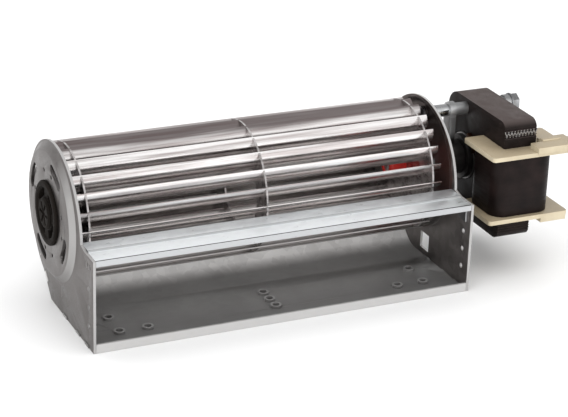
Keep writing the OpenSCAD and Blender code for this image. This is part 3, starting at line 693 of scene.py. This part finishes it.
def wound_tape(name, dark, light, rough):
    f = Finish(name, light, rough)
    f.set("Specular IOR Level", 0.13)
    slanted = f.math("ADD", f.axis("Z"), f.math("MULTIPLY", f.noise(20 * MM, 2), 1.5 * MM))
    step = f.math("FRACT", f.math("MULTIPLY", slanted, 1 / TAPE_STEP))
    crease = f.noise(1.2 * MM, 3, f.stretched(0.15, 0.15, 1))
    f.colour(f.blend(f.ramp(f.noise(10 * MM, 4), 0.35, 0.7), dark, light))
    f.rough(f.ramp(crease, 0.3, 0.7, rough - 0.08, rough + 0.12))
    f.bump(step, 0.02 * MM)
    f.bump(crease, 0.04 * MM)
    return f.material


TAPE = wound_tape("lacquered_tape", (0.0055, 0.0033, 0.003), (0.0155, 0.0093, 0.0086), 0.4)
print("coil finish:", TAPE.name)

# %% [markdown]
# Real sheet and castings have no knife edges. Each solid is copied, its loose triangles are
# merged, flat triangles are joined into faces, and its sharp edges get a small bevel that catches
# the light. The three slotted discs of the drum keep their sharp edges, because a bevel would eat
# into the narrow slots. The copy then stands for the CAD node, which stays, hidden.

# %% Soften the edges of a solid
SMOOTH_ANGLE = math.radians(32)
FLAT_ANGLE = math.radians(0.4)


def shade_smooth(mesh):
    """Smooths the shading, except over edges sharper than SMOOTH_ANGLE."""
    for face in mesh.faces:
        face.smooth = True
    for edge in mesh.edges:
        edge.smooth = len(edge.link_faces) == 2 and edge.calc_face_angle() < SMOOTH_ANGLE


def merged(node):
    mesh = bmesh.new()
    mesh.from_mesh(nodes[node].data)
    bmesh.ops.remove_doubles(mesh, verts=mesh.verts, dist=1e-6)
    bmesh.ops.dissolve_limit(mesh, angle_limit=FLAT_ANGLE, verts=mesh.verts, edges=mesh.edges)
    return mesh


def sharp_edges(mesh):
    pairs = [edge for edge in mesh.edges if len(edge.link_faces) == 2]
    return [edge for edge in pairs if edge.calc_face_angle() > SMOOTH_ANGLE]


def softened(node, material, width):
    """A finished copy of a CAD solid, with bevels of the given width."""
    mesh = merged(node)
    if width:
        bmesh.ops.bevel(
            mesh,
            geom=sharp_edges(mesh),
            offset=width,
            segments=2,
            profile=0.6,
            affect="EDGES",
            clamp_overlap=True,
        )
    shade_smooth(mesh)
    data = bpy.data.meshes.new(node + "_finished")
    mesh.to_mesh(data)
    mesh.free()
    piece = bpy.data.objects.new(node + "_finished", data)
    bpy.context.scene.collection.objects.link(piece)
    data.materials.clear()
    data.materials.append(material)
    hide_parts(node)
    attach(piece, nodes[node]["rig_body"])
    return piece


print("edge softening ready")

# %% [markdown]
# One table gives each CAD solid its finish, the name of its material slot and the width of its
# bevels in millimetres. The blades aren't in it, because they are made new further on.

# %% Dress the solids
FINISHES = {
    "left_side_plate": (SHEET, "galvanised_sheet", 0.15),
    "right_side_plate": (MOTOR_SIDE_SHEET, "galvanised_sheet", 0.15),
    "scroll_housing": (DUCT, "galvanised_sheet", 0.15),
    "stabiliser": (STRIP, "galvanised_strip", 0.2),
    "bearing_mount": (RUBBER, "black_rubber", 0.2),
    "end_bearing": (BRONZE, "sintered_bronze", 0.15),
    "impeller_left_disc": (DISCS, "impeller_aluminium", 0.0),
    "impeller_middle_ring": (DISCS, "impeller_aluminium", 0.0),
    "impeller_right_disc": (DISCS, "impeller_aluminium", 0.0),
    "stub_shaft": (SHAFT, "shaft_steel", 0.2),
    "silicone_hub": (SILICONE, "red_silicone", 0.3),
    "drive_shaft": (SHAFT, "shaft_steel", 0.2),
    "rotor_core": (BARE_STACK, "lamination_steel", 0.1),
    "rotor_cage": (CAST, "cast_aluminium", 0.2),
    "stator_frame": (STACK, "stove_brown_laminations", 0.15),
    "coil_core": (STACK, "stove_brown_laminations", 0.15),
    "shading_rings": (COPPER_SHADED, "copper", 0.2),
    "bobbin": (CREAM, "cream_plastic", 0.25),
    "coil_winding": (TAPE, "winding_tape", 0.3),
    "terminals": (TINNED, "tinned_brass", 0.1),
    "inner_bearing_bridge": (CAST, "cast_aluminium", 0.4),
    "outer_bearing_bridge": (CAST, "cast_aluminium", 0.4),
    "inner_motor_bearing": (BRONZE, "sintered_bronze", 0.15),
    "outer_motor_bearing": (BRONZE, "sintered_bronze", 0.15),
    "bearing_cup": (RUBBER, "black_rubber", 0.25),
    "spacer_tubes": (TUBE, "zinc_steel", 0.15),
    "motor_screws": (ZINC, "zinc_steel", 0.15),
    "motor_nuts": (ZINC, "zinc_steel", 0.2),
    "nut_washers": (ZINC, "zinc_steel", 0.15),
}
for node, (material, slot, width) in FINISHES.items():
    softened(node, material, width * MM)
print(len(FINISHES), "solids dressed, left for later:", sorted(set(nodes) - set(FINISHES)))

# %% [markdown]
# Two things on this fan repeat by a rule, the blades of the drum and the bright teeth of the stack.
# That is work for Geometry Nodes. The named inputs of a tree carry the sizes, so a drum of another
# width or number of blades needs new numbers and no new mesh. The result is baked to a plain mesh,
# which any program can read. This kit keeps the trees short.

# %% A small kit for node trees


class Rule:
    """A Geometry Nodes tree with named number inputs, used once and baked to a plain mesh."""

    def __init__(self, name):
        self.tree = bpy.data.node_groups.new(name, "GeometryNodeTree")
        self.tree.interface.new_socket(
            "Geometry", in_out="OUTPUT", socket_type="NodeSocketGeometry"
        )
        self.entry = self.tree.nodes.new("NodeGroupInput")
        self.exit = self.tree.nodes.new("NodeGroupOutput")
        self.values = {}

    def size(self, name, value, kind="NodeSocketFloat"):
        socket = self.tree.interface.new_socket(name, in_out="INPUT", socket_type=kind)
        self.values[socket.identifier] = value
        return self.entry.outputs[name]

    def count(self, name, value):
        return self.size(name, value, "NodeSocketInt")

    def add(self, kind, links=None, **settings):
        """Adds a node, makes its settings and fills its sockets by name or number."""
        node = self.tree.nodes.new(kind)
        for key, value in settings.items():
            setattr(node, key, value)
        for key, value in (links or {}).items():
            plug(self.tree, value, node.inputs[key])
        return node

    def sum(self, operation, a, b=0.0):
        return self.add("ShaderNodeMath", {0: a, 1: b}, operation=operation).outputs[0]

    def vector(self, x=0.0, y=0.0, z=0.0):
        return self.add("ShaderNodeCombineXYZ", {0: x, 1: y, 2: z}).outputs[0]

    def index(self):
        return self.add("GeometryNodeInputIndex").outputs[0]

    def moved(self, shape, **change):
        links = {"Geometry": shape, **change}
        return self.add("GeometryNodeTransform", links).outputs[0]

    def finish(self, shape, material):
        """Ends the tree: real faces in place of copies, in one material."""
        real = self.add("GeometryNodeRealizeInstances", {0: shape}).outputs[0]
        links = {"Geometry": real, "Material": material}
        dressed = self.add("GeometryNodeSetMaterial", links).outputs[0]
        self.tree.links.new(dressed, self.exit.inputs[0])

    def bake(self, name):
        """Runs the tree once and keeps its result as a plain mesh."""
        seed = bpy.data.objects.new(name + "_rule", bpy.data.meshes.new(name + "_rule"))
        modifier = seed.modifiers.new("rule", "NODES")
        modifier.node_group = self.tree
        for identifier, value in self.values.items():
            modifier[identifier] = value
        bpy.context.scene.collection.objects.link(seed)
        evaluated = seed.evaluated_get(bpy.context.evaluated_depsgraph_get())
        data = bpy.data.meshes.new_from_object(evaluated)
        data.name = name
        seed.modifiers.remove(modifier)
        bpy.data.objects.remove(seed)
        piece = bpy.data.objects.new(name, data)
        bpy.context.scene.collection.objects.link(piece)
        return piece


def outward(piece):
    """Merges doubles and turns every face of a closed piece outwards."""
    mesh = bmesh.new()
    mesh.from_mesh(piece.data)
    bmesh.ops.remove_doubles(mesh, verts=mesh.verts, dist=1e-7)
    bmesh.ops.recalc_face_normals(mesh, faces=mesh.faces)
    shade_smooth(mesh)
    mesh.to_mesh(piece.data)
    mesh.free()
    return piece


print("node tree kit ready")

# %% [markdown]
# Each blade is a strip of thin sheet, curved across its width. An arc is the path, and a rectangle
# as long as the drum, with small rounded corners, is the section that runs along it. One copy goes
# on each of a row of points that share their place and differ in their turn round the axis.

# %% Blades
BLADE_COUNT = 23
FIRST_BLADE = math.radians(14.4)
BLADE_CURVE = 8 * MM
BLADE_SHEET = 0.5 * MM
BLADE_CORNER = 0.12 * MM
BLADE_OUT = 30 * MM
BLADE_DEPTH = 8 * MM
BLADE_IN = BLADE_OUT - BLADE_DEPTH
ARC_POINTS = 11
blade_low, blade_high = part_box("impeller_blades")


def blade_sweep():
    """Angle that the blade's arc turns through between the inner and the outer circle."""
    far = math.hypot(BLADE_IN, BLADE_CURVE)
    opening = (BLADE_OUT**2 - far**2 - BLADE_CURVE**2) / (2 * far * BLADE_CURVE)
    return math.pi / 2 + math.atan2(BLADE_CURVE, BLADE_IN) - math.acos(opening)


def one_blade(rule, length):
    """A curved strip whose length runs along X, with the drum's axis through the origin."""
    inner = rule.size("Inner radius", BLADE_IN)
    curve = rule.size("Curve radius", BLADE_CURVE)
    sweep = rule.size("Sweep", blade_sweep())
    sheet = rule.size("Sheet", BLADE_SHEET)
    corner = rule.size("Corner", BLADE_CORNER)
    # the arc lies in XY, starts beside its middle's top and runs back towards +X
    arc = rule.add(
        "GeometryNodeCurveArc",
        {
            "Resolution": ARC_POINTS,
            "Radius": curve,
            "Start Angle": rule.sum("SUBTRACT", math.pi / 2, sweep),
            "Sweep Angle": sweep,
        },
        mode="RADIUS",
    )
    below = rule.sum("MULTIPLY", curve, -1.0)
    path = rule.moved(arc.outputs[0], Translation=rule.vector(inner, below))
    box = rule.add(
        "GeometryNodeCurvePrimitiveQuadrilateral",
        {"Width": sheet, "Height": length},
        mode="RECTANGLE",
    )
    section = rule.add(
        "GeometryNodeFilletCurve",
        {"Curve": box.outputs[0], "Count": 3, "Radius": corner},
        mode="POLY",
    )
    strip = rule.add(
        "GeometryNodeCurveToMesh",
        {"Curve": path, "Profile Curve": section.outputs[0], "Fill Caps": True},
    )
    # X becomes Y, Y becomes Z and Z becomes X
    return rule.moved(strip.outputs[0], Rotation=(math.pi / 2, 0.0, math.pi / 2))


def blade_drum():
    rule = Rule("blade drum")
    count = rule.count("Blades", BLADE_COUNT)
    first = rule.size("First blade", FIRST_BLADE)
    length = rule.size("Length", blade_high[0] - blade_low[0])
    start = rule.size("Left end", blade_low[0])
    blade = one_blade(rule, length)
    points = rule.add("GeometryNodePoints", {"Count": count})
    step = rule.sum("DIVIDE", 2 * math.pi, count)
    turn = rule.sum("ADD", first, rule.sum("MULTIPLY", rule.index(), step))
    ring = rule.add(
        "GeometryNodeInstanceOnPoints",
        {"Points": points.outputs[0], "Instance": blade, "Rotation": rule.vector(turn)},
    )
    half = rule.sum("ADD", start, rule.sum("MULTIPLY", length, 0.5))
    placed = rule.moved(ring.outputs[0], Translation=rule.vector(half, AXIS_Y, AXIS_Z))
    rule.finish(placed, BLADES)
    return outward(rule.bake("blade_drum"))


blades = blade_drum()
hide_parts("impeller_blades")
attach(blades, nodes["impeller_blades"]["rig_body"])
reach = max(math.hypot(v.co.y - AXIS_Y, v.co.z - AXIS_Z) for v in blades.data.vertices)
print("blades:", len(blades.data.polygons), "faces, reach", round(reach / MM, 2), "mm")

# %% [markdown]
# On the front of the stack's upper leg a band of bare metal is a painted highlight where the
# stack's front corner catches the light. Each sheet shows as a short bright tooth, and the teeth
# lean to and fro. One tooth is made once, set on a row of points along the stack, and turned by
# whether its number is odd or even.

# %% Bare teeth of the laminations
TEETH = 20
TOOTH_LEAN = math.radians(24)
TOOTH_HEIGHT = 3.0 * MM
TOOTH_WIDTH = 0.36 * MM
TOOTH_DEPTH = 0.5 * MM
TOOTH_PROUD = 0.06 * MM
BAND_BELOW_TOP = 5.4 * MM
stack_low, stack_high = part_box("stator_frame")


def lamination_teeth():
    rule = Rule("lamination teeth")
    count = rule.count("Teeth", TEETH)
    left = rule.size("Left", stack_low[0])
    width = rule.size("Stack", stack_high[0] - stack_low[0])
    lean = rule.size("Lean", TOOTH_LEAN)
    height = rule.size("Height", TOOTH_HEIGHT)
    thick = rule.size("Tooth", TOOTH_WIDTH)
    pitch = rule.sum("DIVIDE", width, count)
    points = rule.add("GeometryNodePoints", {"Count": count})
    index = rule.index()
    along = rule.sum("ADD", left, rule.sum("MULTIPLY", pitch, rule.sum("ADD", index, 0.5)))
    row = rule.add(
        "GeometryNodeSetPosition", {"Geometry": points.outputs[0], "Position": rule.vector(along)}
    )
    tooth = rule.add("GeometryNodeMeshCube", {"Size": rule.vector(thick, TOOTH_DEPTH, height)})
    twice = rule.sum("MULTIPLY", rule.sum("MODULO", index, 2.0), 2.0)
    side = rule.sum("SUBTRACT", twice, 1.0)
    turned = rule.vector(0.0, rule.sum("MULTIPLY", side, lean), 0.0)
    teeth = rule.add(
        "GeometryNodeInstanceOnPoints",
        {"Points": row.outputs[0], "Instance": tooth.outputs[0], "Rotation": turned},
    )
    y = stack_low[1] + TOOTH_DEPTH / 2 - TOOTH_PROUD
    z = stack_high[2] - BAND_BELOW_TOP
    rule.finish(rule.moved(teeth.outputs[0], Translation=(0.0, y, z)), TEETH_HIGHLIGHT)
    return outward(rule.bake("lamination_teeth"))


teeth = lamination_teeth()
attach(teeth, nodes["stator_frame"]["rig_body"])
print("teeth:", len(teeth.data.polygons), "faces")

# %% [markdown]
# The fan stands on a plain pale floor in front of a white background. The floor lies just below
# the lowest point of the fan.

# %% Floor
FLOOR_REACH = 4.0
FLOOR_GAP = 0.1 * MM
FLOOR_TINT = (0.86, 0.86, 0.86)


def pale_floor():
    data = bpy.data.meshes.new("floor")
    z = cad_box[0][2] - FLOOR_GAP
    signs = ((-1, -1), (1, -1), (1, 1), (-1, 1))
    data.from_pydata([(x * FLOOR_REACH, y * FLOOR_REACH, z) for x, y in signs], [], [(0, 1, 2, 3)])
    data.materials.append(Finish("pale_floor", FLOOR_TINT, 0.7).material)
    floor = bpy.data.objects.new("floor", data)
    bpy.context.scene.collection.objects.link(floor)
    return floor


floor = pale_floor()
print("floor at", round(floor.data.vertices[0].co.z / MM, 2), "mm")

# %% [markdown]
# The Light Path node tells the world who is looking: the camera and the mirrors in the metal see
# full white, and all else gets a softer light from it.

# %% White world
SKY_STRENGTH = 0.8


def white_world():
    world = bpy.data.worlds.new("studio")
    world.use_nodes = True
    sky = world.node_tree
    sky.nodes.clear()
    rays = sky.nodes.new("ShaderNodeLightPath")
    seen = rays.outputs["Is Camera Ray"]
    for ray in ("Is Glossy Ray", "Is Transmission Ray"):
        either = sky.nodes.new("ShaderNodeMath")
        either.operation = "MAXIMUM"
        sky.links.new(seen, either.inputs[0])
        sky.links.new(rays.outputs[ray], either.inputs[1])
        seen = either.outputs["Value"]
    strength = sky.nodes.new("ShaderNodeMapRange")
    sky.links.new(seen, strength.inputs["Value"])
    strength.inputs["To Min"].default_value = SKY_STRENGTH
    strength.inputs["To Max"].default_value = 1.0
    background = sky.nodes.new("ShaderNodeBackground")
    background.inputs["Color"].default_value = (1, 1, 1, 1)
    sky.links.new(strength.outputs["Result"], background.inputs["Strength"])
    output = sky.nodes.new("ShaderNodeOutputWorld")
    sky.links.new(background.outputs["Background"], output.inputs["Surface"])
    return world


bpy.context.scene.world = white_world()
print("world:", bpy.context.scene.world.name)

# %% [markdown]
# Three large lamps add soft light from above, from the left and from the front. The top and front
# lamps are hidden from mirrors, because they would lie on the drum as hard bright patches.

# %% Lamps
CENTRE = (0.0, AXIS_Y, AXIS_Z)


def lamp(name, place, size, watts, in_mirrors=False):
    data = bpy.data.lights.new(name, "AREA")
    data.energy = watts
    data.shape = "RECTANGLE"
    data.size, data.size_y = size
    light = bpy.data.objects.new(name, data)
    light.location = place
    look = Vector(CENTRE) - Vector(place)
    light.rotation_euler = look.to_track_quat("-Z", "Y").to_euler()
    light.visible_glossy = in_mirrors
    bpy.context.scene.collection.objects.link(light)
    return light


lamps = [
    lamp("top_lamp", (0.0, 0.0, 1.1), (2.2, 1.8), 14),
    lamp("left_lamp", (-0.9, -0.5, 0.45), (0.5, 0.5), 1.6, in_mirrors=True),
    lamp("front_lamp", (0.1, -1.2, 0.16), (0.8, 0.3), 6.5),
]
print("lamps:", {light.name: light.data.energy for light in lamps})

# %% [markdown]
# Standard colour keeps each tone as it is written.

# %% Finish
bpy.context.scene.view_settings.view_transform = "Standard"
